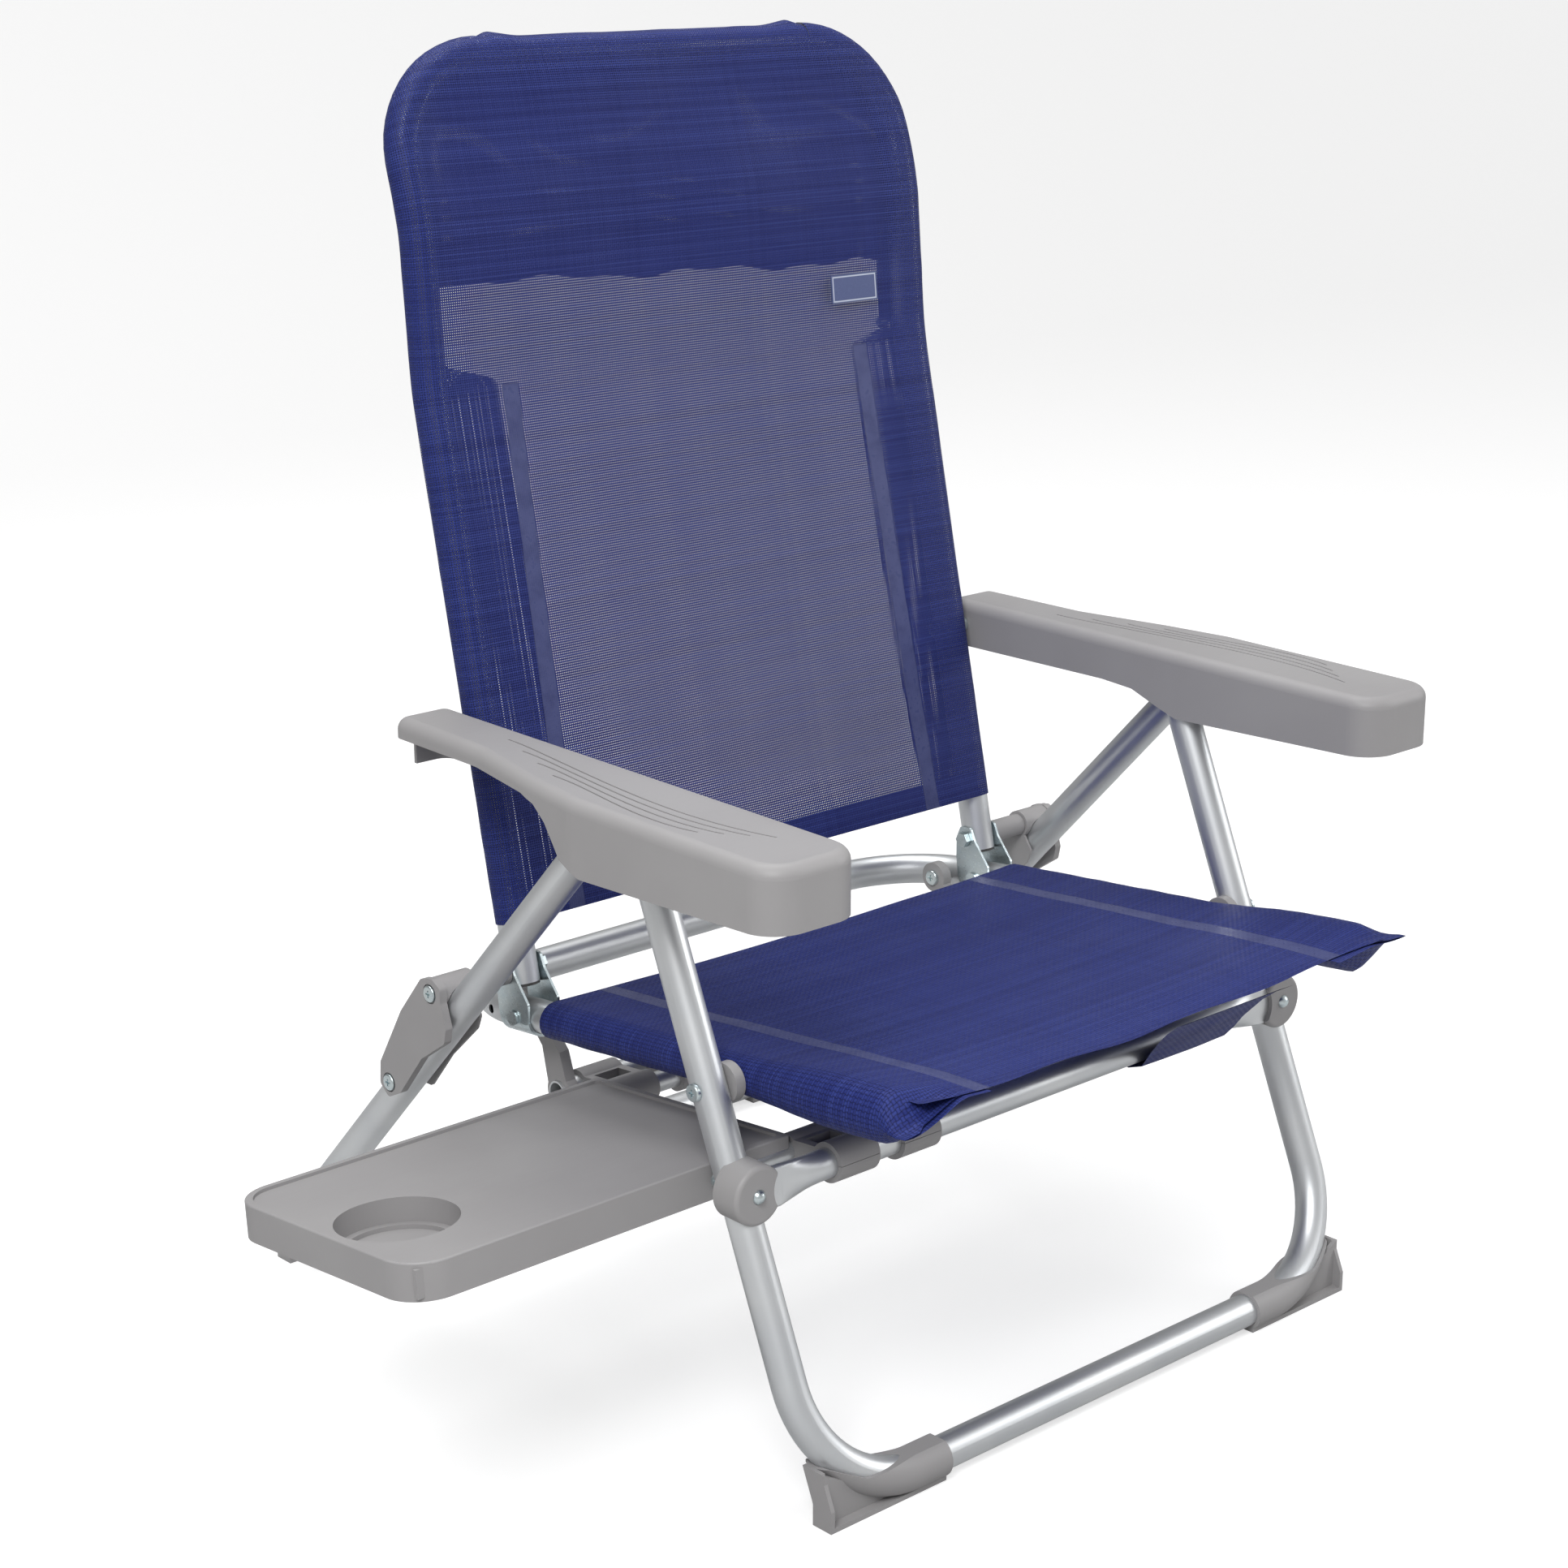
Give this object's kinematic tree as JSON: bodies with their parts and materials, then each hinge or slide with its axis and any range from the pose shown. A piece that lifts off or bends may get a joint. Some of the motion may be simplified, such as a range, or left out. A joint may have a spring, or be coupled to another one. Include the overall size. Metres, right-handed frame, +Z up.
{
  "type": "beach chair",
  "caption": "Low folding beach chair with a reclining cloth back, grey armrests and a sliding side table with a cup holder.",
  "frame": {"origin": "on the floor, under the middle of the chair's overall box with its side table drawn out", "axes": "+Z up, the sitter faces -Y, +X is the sitter's left, and the side table is on the sitter's right"},
  "size_m": [0.765, 0.5927, 0.8434],
  "materials": {
    "cloth": "woven coated polyester mesh",
    "label": "blank woven tag",
    "tube": "satin anodised",
    "zinc_steel": "bright zinc plate",
    "dark_plastic": "moulded",
    "grey_plastic": "fine moulded grain"
  },
  "bodies": {
    "front_frame": {"front_leg_tube": "tube", "front_leg_plugs": "dark_plastic", "front_crossbar": "tube", "crossbar_rivets": "zinc_steel", "seat_pivot_screws": "zinc_steel", "crossbar_sling": "cloth", "front_foot_cap_left": "grey_plastic", "front_foot_cap_right": "grey_plastic", "crossbar_saddle_left": "grey_plastic", "crossbar_saddle_right": "grey_plastic", "leg_pivot_pin_left": "zinc_steel", "leg_pivot_pin_right": "zinc_steel"},
    "rear_frame": {"rear_leg_tube": "tube", "rear_leg_plugs": "dark_plastic", "link_foot_screws": "zinc_steel", "rear_foot_cap_left": "grey_plastic", "rear_foot_cap_right": "grey_plastic"},
    "fold_link_left": {"fold_link_left": "grey_plastic", "link_top_screw_left": "zinc_steel"},
    "fold_link_right": {"fold_link_right": "grey_plastic", "link_top_screw_right": "zinc_steel"},
    "seat": {"seat_frame_tube": "tube", "seat_rail_plugs": "dark_plastic", "seat_sling": "cloth", "bracket_rivets": "zinc_steel", "hinge_bolts": "zinc_steel", "hinge_nuts": "zinc_steel", "hanger_screws": "zinc_steel", "hinge_bracket_left": "zinc_steel", "hinge_bracket_right": "zinc_steel", "hinge_spacer_left": "grey_plastic", "hinge_spacer_right": "grey_plastic", "side_spacer_left": "grey_plastic", "side_spacer_right": "grey_plastic"},
    "back": {"back_frame_tube": "tube", "back_tube_plugs": "dark_plastic", "back_sling": "cloth", "blank_label": "label"},
    "armrest_left": {"armrest_shell_left": "grey_plastic", "ratchet_rack_left": "grey_plastic", "armrest_screw_left": "zinc_steel"},
    "armrest_right": {"armrest_shell_right": "grey_plastic", "ratchet_rack_right": "grey_plastic", "armrest_screw_right": "zinc_steel"},
    "table_hangers": {"hanger_left": "grey_plastic", "hanger_right": "grey_plastic"},
    "table_rear_bar": {"table_rear_bar": "tube"},
    "side_table": {"table_tray": "grey_plastic", "tray_rod_front": "tube", "tray_rod_rear": "tube", "front_clip_outer": "grey_plastic", "front_clip_inner": "grey_plastic", "front_clip_cap_outer": "grey_plastic", "front_clip_cap_inner": "grey_plastic", "rear_clip_outer": "grey_plastic", "rear_clip_inner": "grey_plastic"}
  },
  "joints": [
    {"name": "fold", "type": "hinge", "parent": "front_frame", "child": "seat", "pos_m": [0.0825, -0.149, 0.252], "axis": [1, 0, 0], "range_deg": [-7, 0]},
    {"name": "rear_leg_fold", "type": "hinge", "parent": "front_frame", "child": "rear_frame", "pos_m": [0.0825, -0.085, 0.4055], "axis": [1, 0, 0], "range_deg": [-13.36, 0.2]},
    {"name": "fold_link_left_turn", "type": "hinge", "parent": "rear_frame", "child": "fold_link_left", "pos_m": [0.3525, 0.1189, 0.188], "axis": [1, 0, 0], "range_deg": [-24.58, 0.5]},
    {"name": "fold_link_right_turn", "type": "hinge", "parent": "rear_frame", "child": "fold_link_right", "pos_m": [-0.1875, 0.1189, 0.188], "axis": [1, 0, 0], "range_deg": [-24.58, 0.5]},
    {"name": "recline", "type": "hinge", "parent": "seat", "child": "back", "pos_m": [0.0825, 0.071, 0.262], "axis": [1, 0, 0], "range_deg": [-32, 0]},
    {"name": "armrest_left_tilt", "type": "hinge", "parent": "back", "child": "armrest_left", "pos_m": [0.3325, 0.106, 0.414], "axis": [1, 0, 0], "range_deg": [-0.3, 22.8]},
    {"name": "armrest_right_tilt", "type": "hinge", "parent": "back", "child": "armrest_right", "pos_m": [-0.1675, 0.106, 0.414], "axis": [1, 0, 0], "range_deg": [-0.3, 22.8]},
    {"name": "hanger_swing", "type": "hinge", "parent": "seat", "child": "table_hangers", "pos_m": [0.0825, 0.091, 0.2305], "axis": [1, 0, 0], "range_deg": [-0.2, 7.2]},
    {"name": "rear_bar_turn", "type": "hinge", "parent": "table_hangers", "child": "table_rear_bar", "pos_m": [0.0825, 0.057, 0.1745], "axis": [1, 0, 0], "range_deg": [-7.2, 0.2]},
    {"name": "table_slide", "type": "slide", "parent": "table_rear_bar", "child": "side_table", "axis": [1, 0, 0], "range_m": [0, 0.135]}
  ],
  "couplings": [
    {"joint": "rear_leg_fold", "follows": "fold", "ratio": 1.88},
    {"joint": "fold_link_left_turn", "follows": "fold", "ratio": 3.44},
    {"joint": "fold_link_right_turn", "follows": "fold", "ratio": 3.44},
    {"joint": "armrest_left_tilt", "follows": "recline", "ratio": -0.7},
    {"joint": "armrest_right_tilt", "follows": "recline", "ratio": -0.7},
    {"joint": "hanger_swing", "follows": "fold", "ratio": -1},
    {"joint": "rear_bar_turn", "follows": "fold", "ratio": 1}
  ]
}
